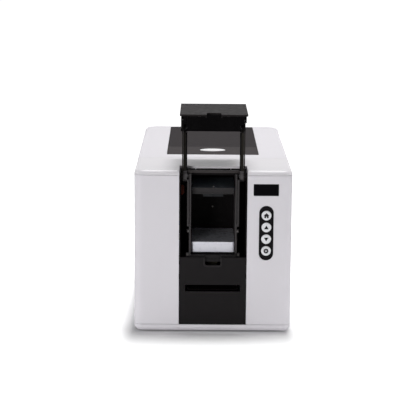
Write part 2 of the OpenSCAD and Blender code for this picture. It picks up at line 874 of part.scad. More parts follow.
module blank_cards() {
    color([0.83, 0.83, 0.88]) place() for (i = [0:card_count - 1])
        along_z(path_z + i * card_pitch, path_z + i * card_pitch + card_t)
            round_rect([-card_w / 2, card_w / 2], [card_y, card_y + card_l], card_r);
}

// ---------------------------------------------------------------- front cover

// Turns the closed cover up about the arms' upper pivots
module raised() {
    translate([0, pivot_y, q_open_z]) rotate([-90, 0, 0])
        translate([0, -pivot_y, -q_closed_z]) children();
}

module cheek_profile(with_arm_eye) {
    if (with_arm_eye) {
        circle_at([pivot_y, q_closed_z], pin_r + 2.5);
        translate([cover_t - 0.5, q_closed_z - pin_r - 2.5])
            square([pivot_y - cover_t + 0.5, 2 * pin_r + 5]);
    }
    else {
        circle_at(link_closed, link_pin_r + 2.6);
        translate([cover_t - 0.5, link_closed[1] - link_pin_r - 2.6])
            square([link_closed[0] - cover_t + 0.5, 2 * link_pin_r + 5.2]);
        translate([cover_t - 0.5, link_closed[1]]) square([5, 26]);
    }
}

module closed_cover() {
    x = cover_w / 2;
    difference() {
        union() {
            box([-x, x], [0, cover_t], [cover_bottom, body_h]);
            box([-x, x], [0, leaf_d], [body_h - cover_t, body_h]);
            // stiffening ribs inside
            both_sides() {
                box([cover_rib_x, cover_rib_x + cover_rib_t], [cover_t - eps, cover_t + 3],
                    [cover_bottom + 4, body_h - 1]);
                box([cover_rib_x, cover_rib_x + cover_rib_t], [0, leaf_d - 2],
                    [body_h - cover_t - 1.2, body_h - 1]);
                box([grip_x, grip_x + cover_rib_t], [cover_t - eps, cover_t + 2],
                    [cover_bottom, cover_bottom + grip_d + cover_rib_t]);
            }
            box([-grip_x - cover_rib_t, grip_x + cover_rib_t], [cover_t - eps, cover_t + 2],
                [cover_bottom + grip_d, cover_bottom + grip_d + cover_rib_t]);
            along_y(cover_t - eps, cover_t + 1.2)
                for (s = [-1, 1]) circle_at([s * 17.7, cover_bottom + 5], 1.6);
        }
        box([-grip_x, grip_x], [-1, cover_t + 4], [cover_bottom - 1, cover_bottom + grip_d]);
    }
    both_sides() {
        difference() {
            along_x(cheek_x, cheek_x + cheek_t) cheek_profile(true);
            rod_x(pin_r + 0.02, pivot_y, q_closed_z, 0, half_w);
        }
        difference() {
            along_x(outer_cheek_x, outer_cheek_x + cheek_t - 0.3) cheek_profile(false);
            rod_x(link_pin_r + 0.02, link_closed[0], link_closed[1], 0, half_w);
        }
    }
}

module front_cover() {
    color([0.2, 0.19, 0.19]) place() raised() closed_cover();
}

module cover_arm(side) {
    low = [pivot_y, pivot_z];
    high = [pivot_y, q_open_z];
    one_side(side) difference() {
        union() {
            along_x(arm_x, arm_x + arm_t) {
                bar_2d(low, high, arm_w / 2);
                circle_at(high, eye_r);
            }
            along_x(cheek_x, arm_x + arm_t) circle_at(low, hub_r);
            // rib on the inner side, ending below the cover's cheek
            along_x(cheek_x, arm_x + eps) bar_2d(low, high - [0, pin_r + 3.1 + rib_r], rib_r);
        }
        rod_x(pin_r + run_fit, low[0], low[1], 0, half_w);
        rod_x(pin_r + run_fit, high[0], high[1], 0, half_w);
        along_x(arm_x + arm_t - 0.6, half_w)
            bar_2d(low + [0, hub_r + 4], high - [0, eye_r + 4], arm_w / 2 - 1.6);
    }
}

module cover_arm_left() {
    color([0.12, 0.12, 0.12]) place() cover_arm(-1);
}

module cover_arm_right() {
    color([0.12, 0.12, 0.12]) place() cover_arm(1);
}

module tilt_link(side) {
    low = [link_y, pivot_z];
    one_side(side) difference() {
        along_x(link_x, link_x + link_t) {
            bar_2d(low, link_open, link_w / 2);
            circle_at(low, link_hub_r);
            circle_at(link_open, link_pin_r + link_slack + 1.4);
        }
        rod_x(link_pin_r + run_fit, low[0], low[1], 0, half_w);
        rod_x(link_pin_r + link_slack, link_open[0], link_open[1], 0, half_w);
    }
}

module tilt_link_left() {
    color([0.3, 0.3, 0.3]) place() tilt_link(-1);
}

module tilt_link_right() {
    color([0.3, 0.3, 0.3]) place() tilt_link(1);
}

// Pins fixed in the hopper that the arms and tilt links turn on
module arm_pivot_pins() {
    color([0.7, 0.7, 0.72]) place() both_sides() {
        rod_x(pin_r, pivot_y, pivot_z, side_x - 0.4, arm_x + arm_t);
        rod_x(link_pin_r, link_y, pivot_z, link_x, liner_x);
    }
}

// Pins fixed in the front cover's cheeks
module cover_pivot_pins() {
    color([0.7, 0.7, 0.72]) place() both_sides() {
        rod_x(pin_r, pivot_y, q_open_z, cheek_x, arm_x + arm_t);
        rod_x(link_pin_r, link_open[0], link_open[1], link_x, outer_cheek_x + cheek_t - 0.3);
    }
}

// Amber light guide of the cover sensor, clipped to the left wall
module sensor_prism() {
    z = pivot_z - 28;
    color([0.75, 0.3, 0.08]) place() along_y(notch_d + 1.6, notch_d + 5.6) polygon([
        [-liner_in, z], [-liner_in + 4.4, z + 3], [-liner_in + 4.4, z + 11],
        [-liner_in + 2.6, z + 13.5], [-liner_in, z + 13.5]
    ]);
}

// ---------------------------------------------------------------- display and keys

module display_outline(grow) {
    round_rect([display_x - display_w / 2 - grow, display_x + display_w / 2 + grow],
               [display_z - display_h / 2 - grow, display_z + display_h / 2 + grow], 0.6 + grow);
}

module display_window() {
    color([0.02, 0.02, 0.02]) place() along_y(0.15, 1.6) display_outline(0);
}

module keys_outline(grow) {
    bar_2d([keys_x, key_names_z[3] - keys_end + keys_w / 2], [keys_x, keys_z + keys_end - keys_w / 2],
           keys_w / 2 + grow);
}

module keypad_plate() {
    color([0.16, 0.15, 0.16]) place() difference() {
        along_y(-0.3, key_plate_t) keys_outline(0);
        for (z = key_names_z) rod_y(key_r + key_fit, keys_x, z, -2, wall + 2);
    }
}

// One key: a domed cap with a flange behind the plate
module key_cap(index) {
    z = key_names_z[index];
    color([0.9, 0.9, 0.92]) place() translate([keys_x, 0, z]) rotate([-90, 0, 0])
        rotate_extrude() polygon([
            [0, -0.3 - key_proud], [key_r - 0.9, -0.3 - key_proud + 0.15],
            [key_r - 0.25, -0.3 - key_proud + 0.45], [key_r, 0.3 - key_proud],
            [key_r, key_plate_t + 0.2], [key_flange_r, key_plate_t + 0.2],
            [key_flange_r, key_plate_t + 1.2], [1.6, key_plate_t + 1.2],
            [1.6, key_plate_t + 2.2], [0, key_plate_t + 2.2]
        ]);
}

module key_home() key_cap(0);
module key_up() key_cap(1);
module key_down() key_cap(2);
module key_settings() key_cap(3);

// Circuit board that carries the display and a push switch behind each key
module front_board() {
    y0 = key_plate_t + 2.2 + key_travel + 0.3;
    back = y0 + 2;
    color([0.1, 0.3, 0.16]) place() {
        box([keys_x - 19, keys_x + 19], [back, back + board_t],
            [key_names_z[3] - 14, display_z + display_h / 2 + 4]);
        box([display_x - display_w / 2 - 1, display_x + display_w / 2 + 1], [wall + 0.3, back + eps],
            [display_z - display_h / 2 - 1, display_z + display_h / 2 + 1]);
        for (z = key_names_z) {
            box([keys_x - 3, keys_x + 3], [y0 + 0.4, back + eps], [z - 3, z + 3]);
            rod_y(1.6, keys_x, z, y0, y0 + 0.41);
        }
        // posts up to the side cover
        for (s = [-1, 1], z = [key_names_z[3] - 11, keys_z + 14])
            rod_y(1.5, keys_x + s * 15, z, wall, back + eps);
    }
}

// ---------------------------------------------------------------- mechanism

// One chassis plate in Y and Z: low under the hopper, tall beside the ribbon bay
module chassis_profile() {
    y1 = body_d - 22;
    low_top = panel_top + 2;
    polygon([
        [14, floor_z], [y1, floor_z], [y1, hinge_z - 5], [hinge_y, hinge_z - 5],
        [hinge_y, hinge_z + 4], [y1 - 8, hinge_z + 4], [y1 - 14, chassis_top],
        [bay_start + 8, chassis_top], [bay_start, chassis_top - 8], [bay_start, low_top], [14, low_top]
    ]);
    circle_at([hinge_y, hinge_z - 0.5], 4.5);
}

module chassis_plate(side) {
    one_side(side) difference() {
        union() {
            along_x(plate_x, plate_out) chassis_profile();
            for (y = [[18, bay_start - 4], [bay_start + 36, platen_y - 3]])
                box([plate_out - eps, plate_out + 9], y, [floor_z, floor_z + plate_t]);
        }
        for (p = shaft_places()) rod_x(shaft_r + run_fit, p[0], p[1], 0, half_w);
        for (y = tie_ys) rod_x(head_rod_r + 0.02, y, tie_z, 0, half_w);
        rod_x(head_rod_r + run_fit, head_pivot[0], head_pivot[1], 0, half_w);
        rod_x(hinge_pin_r + 0.02, hinge_y, hinge_z, 0, half_w);
        along_x(0, half_w) {
            round_rect([motor_y - 11.2, motor_y + 11.2], [motor_z - 11.2, motor_z + 11.2], 11);
            bar_2d([takeup_y - 30, chassis_top - 22.2], [supply_y + 10, chassis_top - 22.2], 7);
        }
    }
}

function shaft_places() = [
    [pick_y, pick_z], [feed_y, feed_z], [platen_y, platen_z], [clean_y, clean_z],
    [exit_y, exit_z]
];

module chassis_left() {
    color([0.62, 0.64, 0.66]) place() chassis_plate(-1);
}

module chassis_right() {
    color([0.62, 0.64, 0.66]) place() chassis_plate(1);
}

// Rods that carry the ribbon cassette, and the top cover's hinge pins
module chassis_pins() {
    color([0.7, 0.7, 0.72]) place() {
        for (y = tie_ys) rod_x(head_rod_r, y, tie_z, -plate_out - 1, plate_out + 1);
        both_sides() rod_x(hinge_pin_r, hinge_y, hinge_z, plate_x - 1, plate_out + 4.4);
    }
}

// A roller on a shaft with a belt pulley on its left end
module driven_roller(y, z, r, bands, pulley) {
    rod_x(shaft_r, y, z, -pulley_x - belt_w - 1.5, plate_out + 1);
    for (b = bands) rod_x(r, y, z, b[0], b[1]);
    rod_x(pulley, y, z, -pulley_x - belt_w, -pulley_x);
    rod_x(pulley + 1.6, y, z, -pulley_x - belt_w - 1, -pulley_x - belt_w);
}

module pick_roller() {
    color([0.35, 0.36, 0.22]) place()
        driven_roller(pick_y, pick_z, pick_r, [[-6, 6]], pulley_r);
}

module feed_roller() {
    color([0.25, 0.25, 0.25]) place()
        driven_roller(feed_y, feed_z, feed_r, [[-24, -10], [10, 24]], pulley_r);
}

module platen_roller() {
    color([0.15, 0.15, 0.15]) place()
        driven_roller(platen_y, platen_z, platen_r, [[-29, 29]], pulley_r);
}

module exit_roller() {
    color([0.25, 0.25, 0.25]) place()
        driven_roller(exit_y, exit_z, exit_r, [[-22, -12], [12, 22]], pulley_r);
}

module cleaning_roller() {
    color([0.25, 0.45, 0.7]) place() {
        rod_x(shaft_r, clean_y, clean_z, -plate_out - 1, plate_out + 1);
        rod_x(clean_r, clean_y, clean_z, -28, 28);
    }
}

// Plate under the card path, between the hopper and the rear
module card_guide() {
    x = hopper_in;
    y0 = hopper_back + liner_t + 0.4;
    y1 = supply_y + 40;
    color([0.2, 0.2, 0.21]) place() difference() {
        union() {
            box([-x, x], [y0, y1], [card_plate_z, card_plate_z + card_plate_t]);
            both_sides() for (y = [bay_start + 24, platen_y - 24, y1 - 30])
                box([x - 1, plate_x], [y, y + 12], [card_plate_z, card_plate_z + card_plate_t]);
            both_sides() box([x - 1.5, x], [y0, y1], [card_plate_z, path_z + card_t - 0.2]);
        }
        both_sides() box([9, 25], [feed_y - feed_r - 1, feed_y + feed_r + 1], [0, body_h]);
        box([-x - 1, x + 1], [platen_y - platen_r - 2, platen_y + platen_r + 2], [0, body_h]);
    }
}

// Sloping guide that brings the card down to the exit slot
module exit_chute() {
    x = slot_w / 2 - 3;
    run = norm([chute_y1 - chute_y0, chute_z1 - chute_z0]);
    color([0.2, 0.2, 0.21]) place() difference() {
        union() {
            translate([0, chute_y0, chute_z0]) rotate([chute_angle, 0, 0]) {
                box([-x, x], [0, run], [-chute_t, 0]);
                both_sides() box([x - 1.2, x], [0, run], [-chute_t, 2]);
            }
            both_sides() for (y = [exit_y + 20, exit_y + 110])
                box([x - 1, plate_x], [y, y + 12],
                    chute_z(y) + [-1.6, 1.2]);
        }
        both_sides() box([11, 23], [exit_y - exit_r - 1, exit_y + exit_r + 1], [0, body_h]);
    }
}

function chute_z(y) = let (z = chute_z0 + (y + 6 - chute_y0) * tan(chute_angle)) [z, z];

// Finned thermal head over the platen
module print_head() {
    x = 31;
    z0 = path_z + card_t + 0.5;
    color([0.72, 0.73, 0.75]) place() difference() {
        union() {
            box([-x, x], [platen_y - 9, platen_y + 9], [z0 + 3, z0 + 28]);
            box([-x, x], [platen_y - 3, platen_y + 3], [z0, z0 + 3.01]);
        }
        for (i = [0:4])
            box([-x - 1, x + 1], [platen_y - 7.6 + 3.6 * i, platen_y - 6.2 + 3.6 * i],
                [z0 + 9, z0 + 24]);
    }
}

// Bracket on a shaft that lifts the print head off the platen
module head_carrier() {
    z1 = path_z + card_t + 28.5;
    color([0.5, 0.51, 0.53]) place() {
        box([-head_x, head_x], [platen_y - 8, platen_y + 8], [z1 + 0.01, z1 + 1.5]);
        both_sides() along_x(head_x - 1.5, head_x) {
            circle_at(head_pivot, 6);
            polygon([[platen_y - 8, z1 - 6], [platen_y - 8, z1 + 1.5], [platen_y + 8, z1 + 1.5],
                head_pivot + [0, 5], head_pivot - [0, 5], [platen_y + 8, z1 - 6]]);
        }
        rod_x(head_rod_r, head_pivot[0], head_pivot[1], -plate_out - 1, plate_out + 1);
    }
}

module ribbon_cassette() {
    low = tie_z + head_rod_r + 0.2;
    color([0.75, 0.75, 0.76]) place() {
        both_sides() difference() {
            along_x(cassette_x, cassette_x + cassette_t) {
                circle_at([takeup_y, spool_z], 14);
                circle_at([supply_y, spool_z], 14);
                bar_2d([takeup_y, spool_z + 6], [supply_y, spool_z + 6], 7);
                for (y = tie_ys) translate([y - 6, low]) square([12, spool_z - low]);
            }
            for (y = [takeup_y, supply_y])
                rod_x(journal_r + run_fit, y, spool_z, 0, half_w);
        }
        for (y = [takeup_y + 32, supply_y - 36])
            rod_x(3, y, spool_z + 9, -cassette_x - 1, cassette_x + 1);
    }
}

module spool(y, r) {
    x = cassette_x;
    rod_x(core_r, y, spool_z, -x + 0.5, x - 0.5);
    rod_x(journal_r, y, spool_z, -x - cassette_t - 1, x + cassette_t + 1);
    rod_x(r, y, spool_z, -ribbon_w / 2, ribbon_w / 2);
    both_sides() rod_x(core_r + 3, y, spool_z, x - 2, x - 0.5);
}

module supply_spool() {
    color([0.25, 0.22, 0.35]) place() spool(supply_y, supply_r);
}

module takeup_spool() {
    color([0.3, 0.2, 0.3]) place() spool(takeup_y, takeup_r);
}

// Ribbon between the rolls, led round the print head
module ribbon_film() {
    t = 0.2;
    z = path_z + card_t + 0.15;
    left = [takeup_y + takeup_r + soft_gap, spool_z];
    right = [supply_y - supply_r - soft_gap, spool_z];
    bend = 16;
    color([0.2, 0.15, 0.3]) place() along_x(-ribbon_w / 2, ribbon_w / 2) polygon([
        left, [platen_y - bend, z], [platen_y + bend, z], right,
        right - [t, 0], [platen_y + bend - t, z + t], [platen_y - bend + t, z + t],
        left + [t, 0]
    ]);
}

module drive_motor() {
    color([0.2, 0.2, 0.21]) place() {
        box([-plate_x, -plate_x + motor_l], [motor_y - motor_w / 2, motor_y + motor_w / 2],
            [motor_z - motor_w / 2, motor_z + motor_w / 2]);
        rod_x(11, motor_y, motor_z, -plate_out + 0.1, -plate_x + 0.1);
    }
}

module motor_pulley() {
    color([0.75, 0.7, 0.5]) place() {
        rod_x(pulley_r - 2, motor_y, motor_z, -pulley_x - belt_w, -pulley_x);
        rod_x(pulley_r - 0.4, motor_y, motor_z, -pulley_x - belt_w - 1, -pulley_x - belt_w);
        rod_x(2.5, motor_y, motor_z, -pulley_x - eps, -plate_out - 0.1);
    }
}

module belt_outline(grow) {
    hull() {
        for (p = [[pick_y, pick_z], [feed_y, feed_z], [platen_y, platen_z], [exit_y, exit_z]])
            translate(p) circle(pulley_r + grow, $fn = soft_fn);
        translate([motor_y, motor_z]) circle(pulley_r - 2 + grow, $fn = soft_fn);
    }
}

module drive_belt() {
    color([0.08, 0.08, 0.08]) place() along_x(-pulley_x - belt_w + 0.3, -pulley_x - 0.3)
        difference() {
            belt_outline(soft_gap + belt_t);
            belt_outline(soft_gap);
        }
}

// Circuit board on posts beside the right chassis plate
module main_board() {
    x = half_w - board_in;
    z = floor_z + board_lift;
    y1 = board_y + board_l;
    color([0.08, 0.3, 0.16]) place() {
        box([x, x + board_t], [board_y, y1], [z, z + board_h]);
        for (y = [board_y + 10, y1 - 10], h = [8, board_h - 8])
            rod_x(2.5, y, z + h, plate_out, x + 0.1);
        box([x - 9, x + eps], [board_y + 60, board_y + 84], [z + 38, z + 62]);
        box([x - 6, x + eps], [y1 - 60, y1 - 38], [z + 18, z + 50]);
        for (i = [0:3]) rod_x(5, board_y + 30, z + 24 + 13 * i, x - 14, x + eps);
    }
}

module power_supply() {
    y1 = body_d - psu_end;
    y0 = y1 - psu_l;
    color([0.55, 0.56, 0.58]) place() difference() {
        box([-half_w + 10, -plate_out - 12], [y0, y1], [floor_z, floor_z + psu_h]);
        for (y = [y0 + 10:12:y1 - 20])
            box([-half_w, -half_w + 14], [y, y + 4], [floor_z + 14, floor_z + psu_h - 14]);
    }
}

// Housings of the rocker switch, power inlet, USB and network sockets
module rear_ports() {
    color([0.1, 0.1, 0.1]) place() difference() {
        along_y(rear_face - 14, body_d) port_outlines(0);
        box([switch_x - 9.5, switch_x + 9.5], [rear_face - 10, body_d + 1], [port_z - 5, port_z + 5]);
        translate([switch_x, rear_face + 0.5, 0])
            cylinder(r = 1.2 + run_fit, h = port_z + 6.2);
        rod_y(2.8, inlet_x, port_z, rear_face - 10, body_d + 1);
        box([usb_x - 4.5, usb_x + 4.5], [rear_face - 6, body_d + 1], [port_z - 4, port_z + 4]);
        box([lan_x - 6, lan_x + 6], [rear_face - 10, body_d + 1], [port_z - 4.8, port_z + 4.8]);
    }
}

// Rocker on a short vertical pin, resting on its off side
module power_switch() {
    color([0.06, 0.06, 0.06]) place() translate([switch_x, rear_face + 0.5, port_z])
        rotate([0, 0, rocker_tilt]) {
            along_z(-4.7, 4.7) polygon([
                [-9, -1.2], [9, -1.2], [9, 1.4], [0, 2.2], [-9, 1.4]
            ]);
            along_z(-6, 6) circle(1.2);
        }
}

// ---------------------------------------------------------------- the parts

base_tray();
rubber_feet();
left_side_cover();
right_side_cover();
rear_panel();
front_top_cap();
top_cover();
top_insert_front();
top_insert_rear();
cover_release_button();
release_guide();
front_lower_panel();
hopper_housing();
hopper_side_left();
hopper_side_right();
hopper_floor();
hopper_lip();
hopper_screws();
card_weight();
weight_knob();
blank_cards();
front_cover();
cover_arm_left();
cover_arm_right();
tilt_link_left();
tilt_link_right();
arm_pivot_pins();
cover_pivot_pins();
sensor_prism();
display_window();
front_board();
keypad_plate();
key_home();
key_up();
key_down();
key_settings();
chassis_left();
chassis_right();
chassis_pins();
pick_roller();
feed_roller();
platen_roller();
cleaning_roller();
exit_roller();
card_guide();
exit_chute();
print_head();
head_carrier();
ribbon_cassette();
supply_spool();
takeup_spool();
ribbon_film();
drive_motor();
motor_pulley();
drive_belt();
main_board();
power_supply();
fan_rotor();
rear_ports();
power_switch();
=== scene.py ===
"""Looks of the desktop card printer: materials, key symbols, camera, floor and studio light.

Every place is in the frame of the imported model. Sizes are written in millimetres and turned into
metres with MM, except for the camera and the studio, which are in metres. Colours are sRGB, 0 to 255.
"""
import math

import bmesh
import bpy
from mathutils import Matrix, Vector
from mathutils.geometry import tessellate_polygon


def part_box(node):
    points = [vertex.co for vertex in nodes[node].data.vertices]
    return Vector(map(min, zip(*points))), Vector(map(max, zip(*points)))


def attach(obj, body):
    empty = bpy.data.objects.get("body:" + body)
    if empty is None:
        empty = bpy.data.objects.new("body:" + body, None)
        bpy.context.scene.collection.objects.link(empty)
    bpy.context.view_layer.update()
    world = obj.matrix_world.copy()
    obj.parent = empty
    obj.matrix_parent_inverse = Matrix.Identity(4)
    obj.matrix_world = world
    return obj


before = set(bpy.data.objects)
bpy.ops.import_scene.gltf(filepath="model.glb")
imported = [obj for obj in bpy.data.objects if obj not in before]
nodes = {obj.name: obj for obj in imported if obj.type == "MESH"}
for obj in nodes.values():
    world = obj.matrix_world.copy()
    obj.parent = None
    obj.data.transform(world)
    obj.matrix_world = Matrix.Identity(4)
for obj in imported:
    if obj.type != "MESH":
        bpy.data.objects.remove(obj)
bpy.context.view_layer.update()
scene = bpy.context.scene
MM = 0.001
X, Y, Z = 0, 1, 2


def span_of(name):
    """The low and high corners of a node, in millimetres."""
    return [[c / MM for c in corner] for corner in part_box(name)]


def middle(name, i):
    """The middle of a node along axis i, in millimetres."""
    low, high = span_of(name)
    return (low[i] + high[i]) / 2


FRONT = span_of("front_top_cap")[0][Y]  # Y of the case's front face
COVER_LOW, COVER_HIGH = span_of("front_cover")


def srgb(r, g, b):
    """An sRGB colour of 0 to 255 as linear values."""
    out = []
    for c in (r, g, b):
        c /= 255.0
        out.append(c / 12.92 if c <= 0.04045 else ((c + 0.055) / 1.055) ** 2.4)
    return out


# ---------------------------------------------------------------- node kit

class Tree:
    """A node tree, with short ways to add nodes and to join them."""

    def __init__(self, tree):
        self.t = tree

    def add(self, kind, **settings):
        n = self.t.nodes.new(kind)
        for k, v in settings.items():
            setattr(n, k, v)
        return n

    def put(self, socket, value):
        """Links a socket, or sets a constant on it."""
        if isinstance(value, bpy.types.NodeSocket):
            self.t.links.new(value, socket)
        elif isinstance(value, (list, tuple)) and len(value) == 3 and socket.type == "RGBA":
            socket.default_value = (*value, 1.0)
        else:
            socket.default_value = value

    def math(self, op, a, b=None):
        n = self.add("ShaderNodeMath", operation=op)
        self.put(n.inputs[0], a)
        if b is not None:
            self.put(n.inputs[1], b)
        return n.outputs[0]

    def vector(self, op, a, b=None):
        n = self.add("ShaderNodeVectorMath", operation=op)
        self.put(n.inputs[0], a)
        if b is not None:
            self.put(n.inputs[1], b)
        return n.outputs["Value" if op == "LENGTH" else "Vector"]

    def span(self, s, low, high, a=0.0, b=1.0):
        """s mapped from low..high to a..b, and held there at both ends."""
        n = self.add("ShaderNodeMapRange")
        self.put(n.inputs["Value"], s)
        for i, v in zip(("From Min", "From Max", "To Min", "To Max"), (low, high, a, b)):
            n.inputs[i].default_value = v
        return n.outputs["Result"]


class Mat(Tree):
    """A procedural material under construction."""

    def __init__(self, name, metal=0.0, spec=0.5, coat=0.0, sheen=0.0):
        self.m = bpy.data.materials.new(name)
        self.m.use_nodes = True
        super().__init__(self.m.node_tree)
        self.b = self.t.nodes["Principled BSDF"]
        self.b.inputs["Metallic"].default_value = metal
        self.b.inputs["Specular IOR Level"].default_value = spec
        self.b.inputs["Coat Weight"].default_value = coat
        self.b.inputs["Sheen Weight"].default_value = sheen
        self.co = self.add("ShaderNodeTexCoord").outputs["Object"]
        self.xyz = None

    def axis(self, i, absolute=False):
        """One coordinate of the point that is shaded, in metres."""
        if self.xyz is None:
            self.xyz = self.add("ShaderNodeSeparateXYZ")
            self.put(self.xyz.inputs[0], self.co)
        s = self.xyz.outputs[i]
        return self.math("ABSOLUTE", s) if absolute else s

    def offset(self, i, origin):
        """Distance along axis i from a place in millimetres."""
        return self.math("SUBTRACT", self.axis(i), origin * MM)

    # masks: 1 inside and 0 outside, with limits in millimetres

    def below(self, s, limit):
        return self.math("LESS_THAN", s, limit * MM)

    def above(self, s, limit):
        return self.math("GREATER_THAN", s, limit * MM)

    def both(self, a, b):
        return self.math("MULTIPLY", a, b)

    def either(self, a, b):
        return self.math("MAXIMUM", a, b)

    def between(self, s, low, high):
        return self.both(self.above(s, low), self.below(s, high))

    # patterns and colours

    def noise(self, size, detail=2.0, rough=0.5, stretch=None):
        """Noise whose features are about size millimetres."""
        co = self.co
        if stretch:
            mapping = self.add("ShaderNodeMapping")
            self.put(mapping.inputs["Vector"], co)
            mapping.inputs["Scale"].default_value = stretch
            co = mapping.outputs[0]
        n = self.add("ShaderNodeTexNoise")
        self.put(n.inputs["Vector"], co)
        n.inputs["Scale"].default_value = 1 / MM / size
        n.inputs["Detail"].default_value = detail
        n.inputs["Roughness"].default_value = rough
        return n.outputs["Fac"]

    def mix(self, fac, a, b):
        """a where fac is 0 and b where it is 1. Both are colours."""
        n = self.add("ShaderNodeMix", data_type="RGBA")
        for socket, value in zip((n.inputs[0], n.inputs[6], n.inputs[7]), (fac, a, b)):
            self.put(socket, value)
        return n.outputs[2]

    def shade(self, rgb, amount=0.04, size=30.0):
        """The colour with faint lighter and darker patches."""
        n = self.add("ShaderNodeVectorMath", operation="SCALE")
        self.put(n.inputs[0], tuple(srgb(*rgb)))
        self.put(n.inputs["Scale"], self.span(self.noise(size, 3.0), 0.3, 0.7, 1 - amount, 1 + amount))
        return n.outputs[0]

    def color(self, c):
        self.put(self.b.inputs["Base Color"], c)
        return self

    def rough(self, mid, vary=0.06, size=6.0):
        patches = self.noise(size, 4.0)
        self.put(self.b.inputs["Roughness"], self.span(patches, 0.3, 0.7, mid - vary, mid + vary))
        return self

    def relief(self, height, depth, strength=0.35, edge=0.3):
        """Bump of the given depth, on edges rounded by the given radius, both in millimetres."""
        bump = self.add("ShaderNodeBump")
        bump.inputs["Strength"].default_value = strength
        bump.inputs["Distance"].default_value = depth * MM
        self.put(bump.inputs["Height"], height)
        if edge:
            rounded = self.add("ShaderNodeBevel", samples=4)
            rounded.inputs["Radius"].default_value = edge * MM
            self.put(bump.inputs["Normal"], rounded.outputs[0])
        self.put(self.b.inputs["Normal"], bump.outputs[0])
        return self


def give(material, *names):
    """Dresses the named nodes in one material."""
    for name in names:
        nodes[name].data.materials.clear()
        nodes[name].data.materials.append(material.m)


# ---------------------------------------------------------------- plain materials

def plastic(name, rgb, rough=0.45, grain=0.6, depth=0.03, vary=0.05, spec=0.2, coat=0.0, edge=0.5,
            rough_vary=0.06):
    """Moulded plastic with a spark-eroded grain of the given size and depth, in millimetres."""
    m = Mat(name, spec=spec, coat=coat)
    m.color(m.shade(rgb, vary)).rough(rough, rough_vary)
    m.relief(m.noise(grain, 3.0, 0.6), depth, edge=edge)
    return m


def metal(name, rgb, rough, stretch, size=1.2):
    """Brushed or turned metal, with its scratches drawn out along one axis."""
    m = Mat(name, metal=1.0)
    lines = m.noise(size, 5.0, 0.65, stretch)
    m.color(m.mix(m.span(lines, 0.35, 0.7), [c * 0.82 for c in srgb(*rgb)], srgb(*rgb)))
    m.put(m.b.inputs["Roughness"], m.span(lines, 0.3, 0.7, rough - 0.08, rough + 0.1))
    m.relief(lines, 0.01, 0.5, 0.25)
    return m


def rubber(name, rgb, rough=0.75):
    m = Mat(name, spec=0.3, sheen=0.05)
    m.color(m.shade(rgb, 0.1, 8.0)).rough(rough, 0.08, 2.0)
    m.relief(m.noise(0.35, 4.0, 0.7), 0.06, 0.5)
    return m


def dress_case():
    """Light, satin housing with dark inserts."""
    give(plastic("case_plastic", (226, 223, 228), grain=0.55, depth=0.006, vary=0.006, rough_vary=0.02),
         "base_tray", "left_side_cover", "right_side_cover", "rear_panel", "top_cover")
    give(plastic("case_cap_plastic", (219, 216, 220), 0.34, 0.55, 0.002, 0.006, spec=0.5, rough_vary=0.015),
         "front_top_cap")
    give(plastic("insert_plastic", (28, 23, 25), 0.6, 0.5, 0.02, 0.01, 0.04, rough_vary=0.015),
         "top_insert_rear")
    give(plastic("insert_front_plastic", (43, 38, 39), 0.6, 0.5, 0.02, 0.01, 0.06, rough_vary=0.015),
         "top_insert_front")
    give(plastic("socket_plastic", (16, 15, 16), 0.5, 0.7, 0.04, 0.06, 0.15),
         "fan_rotor", "rear_ports", "power_switch")
    give(rubber("foot_rubber", (32, 32, 33)), "rubber_feet", "drive_belt")


def dress_front():
    """Hopper, exit slot and keys."""
    give(plastic("rail_plastic", (50, 47, 48), vary=0.06, spec=0.15), "hopper_side_left", "hopper_side_right")
    give(plastic("lip_plastic", (24, 22, 23), 0.48, depth=0.04, spec=0.08), "hopper_lip")
    # The chute and the hopper's floor are dark plastic, painted near-black as the shade inside the slot.
    give(plastic("chute_plastic", (7, 5, 6), 0.5, 0.7, 0.04, spec=0.04), "exit_chute", "hopper_floor")
    give(plastic("key_plastic", (226, 226, 230), 0.35, 0.3, 0.01, 0.01, 0.5, 0.15, 0.3),
         "key_home", "key_up", "key_down", "key_settings")
    give(plastic("keypad_plastic", (20, 18, 20), 0.5, 0.5, spec=0.03), "keypad_plate")
    give(plastic("amber_plastic", (98, 31, 4), 0.3, 0.5, 0.01, 0.1, 0.06), "sensor_prism")
    give(metal("screw_steel", (76, 74, 73), 0.5, (6, 6, 6), 0.8), "hopper_screws", "weight_knob")


def dress_inside():
    give(plastic("inner_plastic", (46, 45, 48), 0.55, 0.8, 0.06, 0.06), "release_guide")
    give(plastic("guide_plastic", (50, 50, 54)), "card_guide")
    give(plastic("cassette_plastic", (205, 205, 208), 0.4, 0.5, vary=0.02, spec=0.5), "ribbon_cassette")
    give(plastic("motor_enamel", (44, 45, 48), 0.35, 0.5, 0.02, spec=0.5), "drive_motor")
    give(metal("machined_steel", (156, 156, 160), 0.34, (1, 25, 25)),
         "arm_pivot_pins", "cover_pivot_pins", "chassis_pins", "head_carrier")
    give(metal("zinc_sheet", (186, 190, 192), 0.42, (1, 6, 1), 3.0),
         "chassis_left", "chassis_right", "power_supply")
    give(metal("extruded_aluminium", (196, 198, 203), 0.38, (0.04, 1, 1), 0.5), "print_head")
    give(metal("turned_brass", (205, 180, 110), 0.3, (1, 25, 25)), "motor_pulley")
    give(rubber("roller_rubber", (44, 44, 46)), "feed_roller", "platen_roller", "exit_roller")
    give(rubber("pick_rubber", (50, 48, 36)), "pick_roller")
    give(rubber("cleaning_rubber", (58, 108, 168), 0.35), "cleaning_roller")
